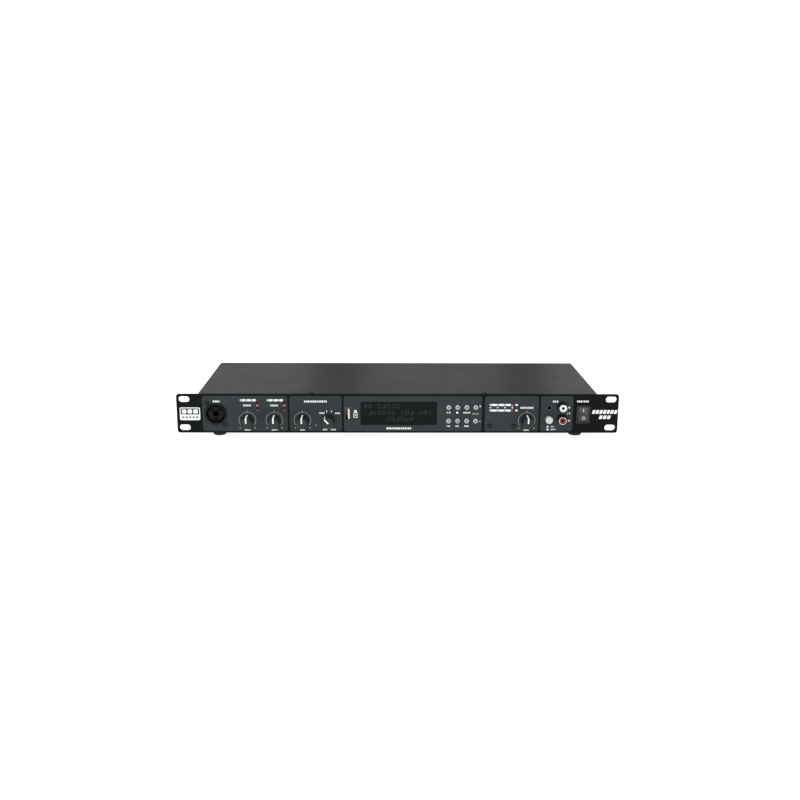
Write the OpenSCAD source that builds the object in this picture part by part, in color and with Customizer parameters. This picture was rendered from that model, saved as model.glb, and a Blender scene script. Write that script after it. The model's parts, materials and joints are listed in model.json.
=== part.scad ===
// A one-unit, nineteen-inch rack mixer with a media player section, in millimetres.
// X runs to the right, Y to the back, Z up. The origin is the middle of the four rack slots, on the
// back face of the front panel, which is the face that seats on the rack's rails.

/* [Front panel] */
// Width of the front panel
panel_w = 482; // [480:0.5:483]
// Height of the front panel
panel_h = 43.6; // [43.2:0.1:44]
// Thickness of the front panel
panel_t = 2.5; // [2:0.1:3]
// Radius of the panel's corners
panel_corner = 3; // [1:0.5:4]
// Thickness of the grey section overlays
overlay_t = 0.4; // [0.2:0.1:0.6]

/* [Rack slots] */
// Distance between the slots across the rack
slot_pitch_x = 465.1; // [464:0.1:466]
// Distance between the slots up the rack
slot_pitch_z = 31.75; // [31.5:0.05:32]
// Length of a slot
slot_l = 11.8; // [8:0.1:13]
// Width of a slot
slot_w = 6.7; // [6.5:0.1:7]

/* [Chassis] */
// Width of the chassis box
chassis_w = 440; // [438:0.5:442]
// Depth of the chassis box behind the panel
chassis_d = 168; // [166:0.5:172]
// Height of the chassis box's underside over the panel's lower edge
chassis_low = 1.6; // [1.4:0.1:2]
// Height of the chassis box's top over the panel's lower edge
chassis_high = 41.4; // [41.2:0.1:42]
// Thickness of the sheet steel
sheet_t = 1.2; // [1:0.1:1.2]

/* [Feet] */
// Height of a rubber foot
foot_h = 10; // [8:0.5:12]
// Radius of a foot where it meets the chassis
foot_top_r = 9; // [8.5:0.5:10]
// Radius of a foot where it meets the table
foot_low_r = 7.2; // [7:0.1:8]
// Distance of the feet from the middle
foot_x = 199; // [196:0.5:200]

/* [Knobs] */
// Radius of a knob at its base
knob_r = 6.4; // [6.2:0.1:6.8]
// Radius of a knob at its face
knob_face_r = 5.9; // [5.6:0.1:6.1]
// Length of a knob
knob_l = 13.8; // [12:0.1:15]
// Radius of a control's shaft
shaft_r = 3; // [2.9:0.05:3]
// Angle of the source selector's pointer from upright, in degrees
selector_rest = -45; // [-45:15:45]

/* [Sockets] */
// Radius of the combination socket's bezel
combo_r = 11.8; // [11.5:0.1:11.9]
// Radius of the quarter-inch jack bore
jack_r = 3.25; // [3.2:0.01:3.3]
// Radius of the small headphone jack bore
mini_r = 1.8; // [1.78:0.01:1.85]
// Radius of a phono socket's metal barrel
phono_r = 4.15; // [4.1:0.01:4.15]
// Radius of a phono socket's pin bore
phono_bore_r = 1.65; // [1.6:0.01:1.7]

/* [Player] */
// Width of the display window
window_w = 83; // [80:0.5:83]
// Height of the display window
window_h = 25.6; // [24:0.1:26]
// Radius of a player button
button_r = 2.55; // [2.4:0.05:2.6]
// Travel of a player button
button_travel = 0.5; // [0.3:0.1:0.5]

/* [Switches] */
// Radius of the white push button
push_r = 3.95; // [3.8:0.05:4]
// Tilt of the power rocker to each side of level, in degrees
rocker_tilt = 12; // [8:1:12]

/* [Hidden] */
$fn = 64;
GAP = 0.1;
EPS = 0.5;

panel_front = -panel_t;
overlay_front = panel_front - overlay_t;
inner_face = sheet_t;
floor_top = chassis_low + sheet_t;
lid_under = chassis_high - sheet_t;
rail_top = lid_under - GAP;
tray_half_w = chassis_w / 2 - sheet_t - GAP;
rear_out = chassis_d;
rear_in = chassis_d - sheet_t;
front_wall = sheet_t + panel_t + overlay_t;
rear_z = 20;
foot_low = chassis_low - foot_h;

// Radii of clearance holes for 3 mm screws, of their thread holes, and of the chassis parts' other holes
clearance_r = 1.7;
thread_hole_r = 1.55;
foot_hole_r = 2.1;
phono_hole_r = 5.9;
nut_hole_r = 6.2;
bushing_r = 3.5;
stud_r = 1.45;

// Each spot is [x, height over the panel's lower edge]
combo_spot = [-198.5, 21.5];
level_spots = [[-164.4, 14.3], [-135.1, 14.3], [-104.5, 14.3], [140.7, 14.3]];
selector_spot = [-75.7, 14.3];
usb_spot = [-55.3, 21.6];
window_spot = [0.5, 22.1];
button_columns = [55, 64.8, 74.7, 84.5];
button_rows = [29.2, 13.9];
mini_spot = [165, 28.8];
push_spot = [165, 15.3];
phono_white_spot = [179, 29.8];
phono_red_spot = [179, 15.8];
power_spot = [202.3, 21.5];
meter_screw_spots = [[100.3, 8.3], [126.2, 8.3]];
stud_spots = [[-215.2, 21.8], [-117, 30], [93, 21.8], [215.2, 21.8]];
d_screw_offsets = [[-9.5, 12], [9.5, -12]];
d_screw_offsets_rear = [[9.5, 12], [-9.5, -12]];
status_led_spot = [-89.5, 9];

// Lights: each microphone channel has a row of three and a column of three, the meter two rows of four
led_size = [2, 2.2];
channel_led_x = [-6.6, -0.8, 5];
column_led_x = 11;
column_led_z = [25.6, 31.2, 36.8];
meter_led_x = [100.5, 108.5, 116.5];
meter_red_x = 124.5;
meter_rows = [25.6, 31.8];
channel_row = 36.8;
channel_x = [level_spots[0][0], level_spots[1][0]];
channel_green = [for (x = channel_x) for (d = channel_led_x) [x + d, channel_row]];
meter_green = [for (x = meter_led_x) for (z = meter_rows) [x, z]];
green_spots = concat(channel_green, meter_green);
channel_red = [for (x = channel_x) for (z = column_led_z) [x + column_led_x, z]];
meter_red = [for (z = meter_rows) [meter_red_x, z]];
red_spots = concat(channel_red, meter_red);

// Grey sections of the panel, from left to right
sections = [[-213, -120.5], [-118.5, -61.5], [-59.5, 91.5], [94.5, 153.5], [155.5, 191]];
section_low = 2;
section_high = 41.7;

// Outer sizes of the data socket and of the power switch's body, and the push-fit sizes behind them
usb_size = [5.6, 14.4];
power_body = [13, 18.2];
power_bezel = [15.5, 20.6];

// Holes for a line plug's pins, and how much wider they are spread in a combination socket
contact_spots = [[-3.54, 3.54], [3.54, 3.54], [0, -5]];
contact_scale = 1.2;

// Rocker of the power switch: its pivot, radius, width, and the depth of the valley between its faces
rocker_pivot_y = panel_front - 0.5;
rocker_r = 8.2;
rocker_w = 11.2;
rocker_front = 1.2;

// Rear sockets, left to right along X
rear_combo_x = -150;
rear_phono_x = [-10, 14];
rear_xlr_x = [55, 87];
inlet_x = 190;
inlet_flange = [50, 22.6];
inlet_flange_t = 2.5;
inlet_body = [27, 20];
inlet_cavity = [24.5, 17];
inlet_screw_x = 20;

// Chassis fasteners and boards
side_screw_y = [22, 84, 146];
side_screw_z = 10;
side_flange_top = 16;
rail_d = 14;
lip_half_w = tray_half_w - 2;
rear_screw_x = [-180, 0, 180];
rear_screw_z = 37.9;
rear_lip_low = 35.2;
top_screw_x = [-95, 95];
top_screw_y = 7;
lip_screw_x = [-170, 0, 140];
lip_screw_y = 163.4;
foot_y = [22.5, 145];
board_t = 1.6;
board_z = 9;
control_y = 9.2;
aux_board_y = 18;
main_posts = [for (x = [-195, -40, 108]) for (y = [66, 134]) [x, y]];
supply_posts = [for (x = [127, 169]) for (y = [115, 155]) [x, y]];
coil_spot = [158, 72];

// ---- building blocks ----

// A 2-D shape drawn in X and Z, as a slab between two depths
module slab(y_from, y_to) {
  translate([0, y_to, 0])
    rotate([90, 0, 0])
      linear_extrude(y_to - y_from)
        children();
}

// A round bar along Y
module bar(r, y_from, y_to) {
  translate([0, y_from, 0])
    rotate([-90, 0, 0])
      cylinder(r = r, h = y_to - y_from);
}

// A round post along Z
module post(r, z_from, z_to) {
  translate([0, 0, z_from])
    cylinder(r = r, h = z_to - z_from);
}

// A box from its lowest to its highest corner
module block(low, high) {
  translate(low)
    cube(high - low);
}

// A six-sided nut along Y with a round hole
module nut(across, hole_r, y_from, y_to) {
  difference() {
    translate([0, y_from, 0])
      rotate([-90, 0, 0])
        cylinder(d = across / cos(30), h = y_to - y_from, $fn = 6);
    bar(hole_r, y_from - EPS, y_to + EPS);
  }
}

// A rectangle with round corners, about its middle
module rounded_rect(w, h, r) {
  square([w - 2 * r, h], center = true);
  square([w, h - 2 * r], center = true);
  for (x = [-1, 1]) {
    for (y = [-1, 1]) {
      translate([x * (w / 2 - r), y * (h / 2 - r)])
        circle(r = r);
    }
  }
}

module slot_shape() {
  square([slot_l - slot_w, slot_w], center = true);
  for (x = [-1, 1]) {
    translate([x * (slot_l - slot_w) / 2, 0])
      circle(d = slot_w);
  }
}

// Moves a solid, or a 2-D shape, to a spot of the front panel
module on_panel(spot) {
  translate([spot[0], 0, spot[1] - panel_h / 2])
    children();
}

module on_panel_2d(spot) {
  translate([spot[0], spot[1] - panel_h / 2])
    children();
}

// Moves a socket, drawn with its wall at y = 0 and its mouth towards -Y, to the front or the rear wall
module in_front_wall(spot) {
  on_panel(spot)
    translate([0, inner_face, 0])
      children();
}

module in_rear_wall(x) {
  on_panel([x, rear_z])
    translate([0, rear_in, 0])
      rotate([0, 0, 180])
        children();
}

// Everything below is placed in Z from the panel's lower edge
module from_edge() {
  translate([0, 0, -panel_h / 2])
    children();
}

// ---- front panel and chassis ----

// Every hole in the panel's stack of sheets, apart from the rack slots
module panel_openings(bushing_hole_r) {
  on_panel_2d(combo_spot)
    circle(r = combo_r + 0.3);
  for (d = d_screw_offsets) {
    on_panel_2d(combo_spot + d)
      circle(r = clearance_r);
  }
  for (spot = concat(level_spots, [selector_spot])) {
    on_panel_2d(spot)
      circle(r = bushing_hole_r);
  }
  for (spot = concat(green_spots, red_spots)) {
    on_panel_2d(spot)
      square([led_size[0] + 2 * GAP, led_size[1] + 2 * GAP], center = true);
  }
  on_panel_2d(status_led_spot)
    circle(r = 1.3);
  on_panel_2d(usb_spot)
    rounded_rect(usb_size[0] + 0.4, usb_size[1] + 0.4, 0.5);
  on_panel_2d(window_spot)
    rounded_rect(window_w + 0.4, window_h + 0.4, 1.6);
  for (x = button_columns) {
    for (z = button_rows) {
      on_panel_2d([x, z])
        circle(r = button_r + 0.2);
    }
  }
  for (spot = meter_screw_spots) {
    on_panel_2d(spot)
      circle(r = clearance_r);
  }
  on_panel_2d(mini_spot)
    circle(r = 2.5);
  on_panel_2d(push_spot)
    circle(r = push_r + 0.2);
  for (spot = [phono_white_spot, phono_red_spot]) {
    on_panel_2d(spot)
      circle(r = phono_hole_r);
  }
  on_panel_2d(power_spot)
    square([power_body[0] + 0.4, power_body[1] + 0.4], center = true);
}

// The black panel with its rack ears
module front_panel() {
  color([0.13, 0.13, 0.14]) {
    slab(panel_front, 0) {
      difference() {
        rounded_rect(panel_w, panel_h, panel_corner);
        for (x = [-1, 1]) {
          for (z = [-1, 1]) {
            translate([x * slot_pitch_x / 2, z * slot_pitch_z / 2])
              slot_shape();
          }
        }
        panel_openings(nut_hole_r);
      }
    }
  }
}

// The grey areas of the panel, one thin sheet for each section
module section_overlays() {
  color([0.24, 0.25, 0.26]) {
    slab(overlay_front, panel_front) {
      difference() {
        for (s = sections) {
          translate([(s[0] + s[1]) / 2, (section_low + section_high) / 2 - panel_h / 2])
            rounded_rect(s[1] - s[0], section_high - section_low, 3);
        }
        panel_openings(bushing_r + 0.2);
      }
    }
  }
}

// The upright sheet behind the panel, and the rail along its top that takes the cover's front screws
module front_bulkhead() {
  color([0.3, 0.3, 0.31]) {
    difference() {
      union() {
        slab(0, sheet_t) {
          difference() {
            translate([-tray_half_w, floor_top - panel_h / 2])
              square([2 * tray_half_w, rail_top - floor_top]);
            panel_openings(bushing_r + 0.1);
            for (spot = stud_spots) {
              on_panel_2d(spot)
                circle(r = stud_r + 0.15);
            }
          }
        }
        from_edge()
          block([-tray_half_w, 0, rail_top - sheet_t], [tray_half_w, rail_d, rail_top]);
      }
      from_edge() {
        for (x = top_screw_x) {
          translate([x, top_screw_y, 0])
            post(thread_hole_r, rail_top - sheet_t - EPS, rail_top + EPS);
        }
      }
    }
  }
}

// Floor and side flanges, folded from one sheet
module base_tray() {
  color([0.3, 0.3, 0.31]) {
    from_edge() {
      difference() {
        union() {
          block([-tray_half_w, 0, chassis_low], [tray_half_w, rear_out - GAP, floor_top]);
          for (x = [-tray_half_w, tray_half_w - sheet_t]) {
            block([x, sheet_t + GAP, chassis_low], [x + sheet_t, rear_in - 1, side_flange_top]);
          }
        }
        for (x = [-foot_x, foot_x]) {
          for (y = foot_y) {
            translate([x, y, 0])
              post(foot_hole_r, chassis_low - EPS, floor_top + EPS);
          }
        }
        for (x = lip_screw_x) {
          translate([x, lip_screw_y, 0])
            post(clearance_r, chassis_low - EPS, floor_top + EPS);
        }
        for (y = side_screw_y) {
          translate([-tray_half_w - EPS, y, side_screw_z])
            rotate([0, 90, 0])
              cylinder(r = thread_hole_r, h = 2 * tray_half_w + 2 * EPS);
        }
      }
    }
  }
}

// Top and both sides, folded from one sheet, with a short lip down over the rear panel
module top_cover() {
  half = chassis_w / 2;
  color([0.32, 0.32, 0.33]) {
    difference() {
      union() {
        slab(0.2, rear_out) {
          difference() {
            cover_outline(half, 1.6, 0);
            cover_outline(half - sheet_t, 0.2, sheet_t);
          }
        }
        from_edge() {
          block([-half + 1.6, rear_out, rear_lip_low], [half - 1.6, rear_out + sheet_t, chassis_high]);
          block([-half + 1.6, rear_out - EPS, lid_under], [half - 1.6, rear_out + EPS, chassis_high]);
        }
      }
      from_edge() {
        for (y = side_screw_y) {
          translate([-half - EPS, y, side_screw_z])
            rotate([0, 90, 0])
              cylinder(r = clearance_r, h = 2 * half + 2 * EPS);
        }
        for (x = top_screw_x) {
          translate([x, top_screw_y, 0])
            post(clearance_r, lid_under - EPS, chassis_high + EPS);
        }
        for (x = rear_screw_x) {
          translate([x, 0, rear_screw_z])
            bar(clearance_r, rear_out - EPS, rear_out + sheet_t + EPS);
        }
      }
    }
  }
}

// An upright U upside down, with round upper corners
module cover_outline(half, r, drop) {
  low = chassis_low - panel_h / 2;
  high = chassis_high - panel_h / 2 - drop;
  translate([-half, low])
    square([2 * half, high - low - r]);
  translate([-half + r, low])
    square([2 * half - 2 * r, high - low]);
  for (x = [-half + r, half - r]) {
    translate([x, high - r])
      circle(r = r);
  }
}

// The rear wall with its socket holes and a lip along the floor
module rear_panel() {
  color([0.28, 0.28, 0.29]) {
    difference() {
      from_edge() {
        block([-tray_half_w, rear_in, floor_top], [tray_half_w, rear_out, rail_top]);
        block([-lip_half_w, lip_screw_y - 3.4, floor_top], [lip_half_w, rear_in + EPS, floor_top + sheet_t]);
      }
      for (x = concat([rear_combo_x], rear_xlr_x)) {
        on_panel([x, rear_z])
          bar(combo_r + 0.3, rear_in - EPS, rear_out + EPS);
        for (d = d_screw_offsets_rear) {
          on_panel([x, rear_z] + d)
            bar(clearance_r, rear_in - EPS, rear_out + EPS);
        }
      }
      for (x = rear_phono_x) {
        on_panel([x, rear_z])
          bar(phono_hole_r, rear_in - EPS, rear_out + EPS);
      }
      on_panel([inlet_x, rear_z]) {
        slab(rear_in - EPS, rear_out + EPS)
          square([inlet_body[0] + 0.4, inlet_body[1] + 0.4], center = true);
        for (x = [-inlet_screw_x, inlet_screw_x]) {
          translate([x, 0, 0])
            bar(thread_hole_r, rear_in - EPS, rear_out + EPS);
        }
      }
      from_edge() {
        for (x = rear_screw_x) {
          translate([x, 0, rear_screw_z])
            bar(thread_hole_r, rear_in - EPS, rear_out + EPS);
        }
        for (x = lip_screw_x) {
          translate([x, lip_screw_y, 0])
            post(thread_hole_r, floor_top - EPS, floor_top + sheet_t + EPS);
        }
      }
    }
  }
}

// ---- feet and fasteners ----

module at_feet() {
  for (x = [-foot_x, foot_x]) {
    for (y = foot_y) {
      from_edge()
        translate([x, y, 0])
          children();
    }
  }
}

module feet() {
  chamfer = 0.8;
  outline = [
    [foot_hole_r, chassis_low], [foot_top_r, chassis_low], [foot_top_r, chassis_low - 1.2],
    [foot_low_r, foot_low + chamfer], [foot_low_r - chamfer, foot_low], [4.2, foot_low],
    [4.2, foot_low + 5], [foot_hole_r, foot_low + 5]
  ];
  color([0.07, 0.07, 0.07]) {
    at_feet()
      rotate_extrude()
        polygon(outline);
  }
}

// A screw up through each foot, with its nut on the floor of the tray
module foot_fixings() {
  color([0.6, 0.6, 0.62]) {
    at_feet() {
      post(1.95, foot_low + 4, floor_top + 4.5);
      post(3.6, foot_low + 3, foot_low + 5);
      difference() {
        translate([0, 0, floor_top])
          cylinder(d = 7 / cos(30), h = 3.2, $fn = 6);
        post(2, floor_top - EPS, floor_top + 4);
      }
    }
  }
}

// A pan-head screw along +Z, with its head under z = 0 and a cross recess in it
module pan_screw(head_r, head_h, shank_r, shank_l) {
  rotate_extrude()
    polygon([
      [0, -head_h + 0.6], [0.1, -head_h + 0.6], [0.1, -head_h], [head_r * 0.72, -head_h],
      [head_r, -head_h * 0.45], [head_r, 0], [shank_r, 0], [shank_r, shank_l], [0, shank_l]
    ]);
}

module cross_screw(head_r, head_h, shank_r, shank_l) {
  difference() {
    pan_screw(head_r, head_h, shank_r, shank_l);
    for (a = [0, 90]) {
      rotate([0, 0, a])
        translate([-head_r * 0.55, -0.3, -head_h - EPS])
          cube([head_r * 1.1, 0.6, EPS + 0.8]);
    }
  }
}

module chassis_screws() {
  half = chassis_w / 2;
  color([0.1, 0.1, 0.1]) {
    from_edge() {
      for (y = side_screw_y) {
        translate([-half, y, side_screw_z])
          rotate([0, 90, 0])
            cross_screw(2.7, 1.7, 1.45, 5);
        translate([half, y, side_screw_z])
          rotate([0, -90, 0])
            cross_screw(2.7, 1.7, 1.45, 5);
      }
      for (x = rear_screw_x) {
        translate([x, rear_out + sheet_t, rear_screw_z])
          rotate([90, 0, 0])
            cross_screw(2.7, 1.7, 1.45, 5);
      }
      for (x = top_screw_x) {
        translate([x, top_screw_y, chassis_high])
          rotate([180, 0, 0])
            cross_screw(2.7, 1.5, 1.45, 3.2);
      }
      for (x = lip_screw_x) {
        translate([x, lip_screw_y, chassis_low])
          cross_screw(2.7, 1.6, 1.45, 5);
      }
    }
  }
}

// The studs behind the panel that go through the bulkhead, and their nuts
module panel_fixings() {
  color([0.7, 0.7, 0.7]) {
    for (spot = stud_spots) {
      on_panel(spot)
        bar(stud_r, 0, 6);
      in_front_wall(spot)
        nut(5.5, stud_r + 0.05, 0, 2.4);
    }
  }
}

// Screws of the round sockets, the meter board and the mains inlet
module connector_screws() {
  color([0.12, 0.12, 0.12]) {
    for (d = d_screw_offsets) {
      on_panel(combo_spot + d)
        translate([0, overlay_front, 0])
          rotate([-90, 0, 0])
            cross_screw(2.6, 1.4, 1.2, 7);
    }
    for (d = d_screw_offsets_rear) {
      for (x = concat([rear_combo_x], rear_xlr_x)) {
        on_panel([x, rear_z] + d)
          translate([0, rear_out, 0])
            rotate([90, 0, 0])
              cross_screw(2.6, 1.4, 1.2, 4);
      }
    }
    for (spot = meter_screw_spots) {
      on_panel(spot)
        translate([0, overlay_front, 0])
          rotate([-90, 0, 0])
            cross_screw(2.3, 1.4, 1.45, 10);
    }
    for (x = [-inlet_screw_x, inlet_screw_x]) {
      on_panel([inlet_x + x, rear_z])
        translate([0, rear_out + inlet_flange_t, 0])
          rotate([90, 0, 0])
            cross_screw(2.7, 1.7, 1.45, 7);
    }
  }
}

// ---- round sockets ----

// Flange, barrel and bezel shared by the round sockets; wall is the thickness that the bezel passes
module socket_housing(wall, cavity_r, cavity_l, body_l) {
  face = -wall - 1;
  difference() {
    union() {
      slab(0, 2)
        rounded_rect(26, 31, 3);
      rotate([-90, 0, 0])
        rotate_extrude()
          polygon([[0, face], [combo_r - 0.7, face], [combo_r, face + 0.7], [combo_r, body_l], [0, body_l]]);
    }
    bar(cavity_r, face - EPS, cavity_l);
    for (d = d_screw_offsets) {
      translate([d[0], 0, d[1]])
        bar(1.25, -EPS, 2 + EPS);
    }
  }
}

module combo_housings() {
  color([0.1, 0.1, 0.1]) {
    in_front_wall(combo_spot)
      socket_housing(front_wall, 10, 13, 24);
    in_rear_wall(rear_combo_x)
      socket_housing(sheet_t, 10, 13, 22);
  }
}

// The round core with the jack bore in its middle and three contact holes around it
module combo_core(wall) {
  face = -wall + 0.6;
  difference() {
    rotate([-90, 0, 0])
      rotate_extrude()
        polygon([[0, face], [8.2, face], [8.7, face + 0.5], [8.7, 13], [0, 13]]);
    bar(jack_r, face - EPS, 12);
    for (c = contact_spots) {
      translate([c[0] * contact_scale, 0, c[1] * contact_scale])
        bar(1.35, face - EPS, 10);
    }
    translate([-1.2, face - EPS, 7.7])
      cube([2.4, 13 + wall, 2]);
  }
}

module combo_cores() {
  color([0.16, 0.16, 0.17]) {
    in_front_wall(combo_spot)
      combo_core(front_wall);
    in_rear_wall(rear_combo_x)
      combo_core(sheet_t);
  }
}

module line_sockets() {
  color([0.12, 0.12, 0.12]) {
    for (x = rear_xlr_x) {
      in_rear_wall(x)
        socket_housing(sheet_t, 8.8, 12, 20);
    }
  }
}

// Contacts in the combination sockets, pins in the line sockets and blades in the mains inlet
module contact_pins() {
  color([0.8, 0.7, 0.45]) {
    for (c = contact_spots) {
      in_front_wall(combo_spot)
        translate([c[0] * contact_scale, 0, c[1] * contact_scale])
          bar(1, 7, 10);
      in_rear_wall(rear_combo_x)
        translate([c[0] * contact_scale, 0, c[1] * contact_scale])
          bar(1, 7, 10);
      for (x = rear_xlr_x) {
        in_rear_wall(x)
          translate([c[0], 0, c[1]])
            bar(1.2, -1, 12);
      }
    }
    in_rear_wall(inlet_x) {
      for (c = [[-7, -2], [7, -2], [0, 2]]) {
        block([c[0] - 1, 0, c[1] - 2], [c[0] + 1, 13, c[1] + 2]);
      }
    }
  }
}

// ---- controls ----

module at_levels() {
  for (spot = level_spots) {
    in_front_wall(spot)
      children();
  }
}

// Case, threaded bushing and terminals of one rotary control; its bore takes the shaft
module control_body(case_r) {
  bushing_l = sheet_t + 2.2;
  difference() {
    union() {
      bar(case_r, 0, control_y - inner_face);
      bar(bushing_r, -bushing_l, EPS);
      for (x = [-5, 0, 5]) {
        block([x - 0.6, 2, -case_r - 1], [x + 0.6, 2.8, -case_r + 1.5]);
      }
    }
    bar(shaft_r + 0.05, -bushing_l - EPS, 6.5);
  }
}

module pot_bodies() {
  color([0.2, 0.35, 0.3]) {
    at_levels()
      control_body(8.3);
  }
}

module rotary_switch() {
  color([0.15, 0.15, 0.2]) {
    in_front_wall(selector_spot)
      control_body(9.2);
  }
}

module bushing_nuts() {
  color([0.75, 0.75, 0.76]) {
    for (spot = concat(level_spots, [selector_spot])) {
      on_panel(spot)
        nut(10, bushing_r + 0.05, -2, 0);
    }
    on_panel(mini_spot) {
      difference() {
        bar(2.9, overlay_front - 0.8, overlay_front);
        bar(2.4, overlay_front - 1.5, overlay_front + EPS);
      }
    }
  }
}

// A shaft from the knob's socket to the end of the control's bore
module shaft(spot) {
  color([0.7, 0.7, 0.72]) {
    on_panel(spot)
      bar(shaft_r, overlay_front - 11, inner_face + 6.4);
  }
}

// A fluted, slightly tapered knob with a pointer groove, standing just clear of the panel
module knob(spot, turn) {
  back = overlay_front - 0.6;
  face = back - knob_l;
  flutes = 20;
  taper = atan((knob_r - 0.2 - knob_face_r) / (knob_l - 2.5));
  color([0.12, 0.12, 0.12]) {
    on_panel(spot) {
      rotate([0, turn, 0]) {
        difference() {
          rotate([90, 0, 0])
            rotate_extrude()
              polygon([
                [shaft_r + 0.02, -back], [knob_r, -back], [knob_r, -back + 1.6], [knob_r - 0.2, -back + 2],
                [knob_face_r, -face - 0.5], [knob_face_r - 0.5, -face], [0, -face],
                [0, -overlay_front + 11.1], [shaft_r + 0.02, -overlay_front + 11.1]
              ]);
          for (i = [0 : flutes - 1]) {
            rotate([0, (i + 0.5) * 360 / flutes, 0])
              translate([0, back - 2.4, knob_r + 0.1])
                rotate([taper, 0, 0])
                  bar(0.5, -knob_l, 0);
          }
          translate([-0.6, face - EPS, knob_face_r - 0.35])
            cube([1.2, knob_l + EPS - 0.4, 2]);
          translate([-0.6, face - EPS, 0.6])
            cube([1.2, EPS + 0.3, 8]);
        }
      }
    }
  }
}

// ---- player section ----

module usb_shell() {
  color([0.75, 0.75, 0.77]) {
    on_panel(usb_spot) {
      difference() {
        slab(-3.4, 11)
          rounded_rect(usb_size[0], usb_size[1], 0.5);
        slab(-4, 10.5)
          rounded_rect(usb_size[0] - 0.8, usb_size[1] - 0.8, 0.3);
      }
    }
  }
}

module usb_tongue() {
  color([0.92, 0.92, 0.9]) {
    on_panel(usb_spot)
      block([0.5, -2.7, -5.6], [2.2, 10.5, 5.6]);
  }
}

module display_window() {
  color([0.08, 0.1, 0.08]) {
    on_panel(window_spot)
      slab(-2.6, -1.1)
        rounded_rect(window_w, window_h, 1.4);
  }
}

// Metal frame and glass of the display, on its own board
module display_module() {
  color([0.15, 0.2, 0.15]) {
    on_panel(window_spot) {
      difference() {
        block([-40.5, -1, -12.3], [40.5, 5, 12.3]);
        block([-38, -2, -10], [38, -0.4, 10]);
      }
      block([-48, 5, -15.8], [47.5, 5 + board_t, 15.8]);
    }
  }
}

// The key board behind the buttons and the small board behind the data socket
module player_boards() {
  color([0.1, 0.35, 0.2]) {
    from_edge() {
      block([50, 6, 5], [90, 6 + board_t, 38]);
      block([-61, 11, 8], [-49.5, 11 + board_t, 36]);
    }
  }
}

// Eight key switches, and the latching switch behind the white button
module switch_bodies() {
  color([0.2, 0.2, 0.2]) {
    for (x = button_columns) {
      for (z = button_rows) {
        on_panel([x, z]) {
          block([-3, 3.2, -3], [3, 6, 3]);
          bar(1.75, inner_face + 0.75 + button_travel, 3.4);
        }
      }
    }
    on_panel(push_spot) {
      difference() {
        block([-5.5, 6, -5.5], [5.5, aux_board_y, 5.5]);
        bar(1.65, 5, 14);
      }
    }
  }
}

// A round button with a dished face and a collar that keeps it behind the panel
module button(column, row) {
  color([0.72, 0.73, 0.73]) {
    on_panel([button_columns[column], button_rows[row]]) {
      difference() {
        rotate([-90, 0, 0])
          rotate_extrude()
            polygon([
              [0, overlay_front - 2.1], [button_r - 0.4, overlay_front - 2.1],
              [button_r, overlay_front - 1.7], [button_r, inner_face + 0.05],
              [3.3, inner_face + 0.05], [3.3, inner_face + 0.7], [0, inner_face + 0.7]
            ]);
        translate([0, overlay_front - 2.1 - 3.2, 0])
          sphere(r = 3.55);
      }
    }
  }
}

// ---- lights ----

module light_row(spots) {
  for (spot = spots) {
    on_panel(spot)
      slab(overlay_front - 0.3, control_y)
        square(led_size, center = true);
  }
}

module green_lights() {
  color([0.5, 0.85, 0.65]) {
    light_row(green_spots);
    on_panel(status_led_spot)
      bar(1.2, overlay_front - 0.4, control_y);
  }
}

module red_lights() {
  color([0.75, 0.1, 0.15])
    light_row(red_spots);
}

// ---- auxiliary section ----

module mini_jack() {
  color([0.1, 0.1, 0.1]) {
    in_front_wall(mini_spot) {
      difference() {
        union() {
          block([-5.5, 0, -5.5], [5.5, aux_board_y - inner_face, 5.5]);
          bar(2.35, -front_wall - 0.8, EPS);
        }
        bar(mini_r, -front_wall - 2, 15);
      }
    }
  }
}

// One phono socket's parts, with the wall it passes through
module phono_housing(wall, depth) {
  difference() {
    union() {
      block([-6, 0, -6.7], [6, depth, 6.7]);
      bar(5.75, -wall - 0.3, EPS);
    }
    bar(phono_r + 0.05, -wall - 1, 9);
  }
}

module phono_barrel(wall) {
  difference() {
    bar(phono_r, -wall - 8, 8.9);
    bar(phono_r - 0.6, -wall - 9, 9.5);
  }
}

module phono_insert(wall) {
  difference() {
    bar(phono_r - 0.65, -wall - 7.4, 8.8);
    bar(phono_bore_r, -wall - 9, 6);
  }
}

module phono_housings() {
  color([0.08, 0.08, 0.08]) {
    for (spot = [phono_white_spot, phono_red_spot]) {
      in_front_wall(spot)
        phono_housing(front_wall, aux_board_y - inner_face);
    }
    for (x = rear_phono_x) {
      in_rear_wall(x)
        phono_housing(sheet_t, 13);
    }
  }
}

module phono_barrels() {
  color([0.8, 0.8, 0.82]) {
    for (spot = [phono_white_spot, phono_red_spot]) {
      in_front_wall(spot)
        phono_barrel(front_wall);
    }
    for (x = rear_phono_x) {
      in_rear_wall(x)
        phono_barrel(sheet_t);
    }
  }
}

module phono_inserts_white() {
  color([0.92, 0.92, 0.9]) {
    in_front_wall(phono_white_spot)
      phono_insert(front_wall);
    in_rear_wall(rear_phono_x[0])
      phono_insert(sheet_t);
  }
}

module phono_inserts_red() {
  color([0.65, 0.08, 0.08]) {
    in_front_wall(phono_red_spot)
      phono_insert(front_wall);
    in_rear_wall(rear_phono_x[1])
      phono_insert(sheet_t);
  }
}

// The white latching button: a domed cap, a collar and the stem that slides in the switch
module source_button() {
  color([0.9, 0.9, 0.88]) {
    on_panel(push_spot) {
      rotate([-90, 0, 0])
        rotate_extrude()
          polygon([
            [0, overlay_front - 5], [push_r - 0.9, overlay_front - 4.9], [push_r - 0.25, overlay_front - 4.5],
            [push_r, overlay_front - 3.9], [push_r, inner_face + 0.05], [4.8, inner_face + 0.05],
            [4.8, inner_face + 1], [1.6, inner_face + 1], [1.6, 10], [0, 10]
          ]);
    }
  }
}

// ---- power switch ----

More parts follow.
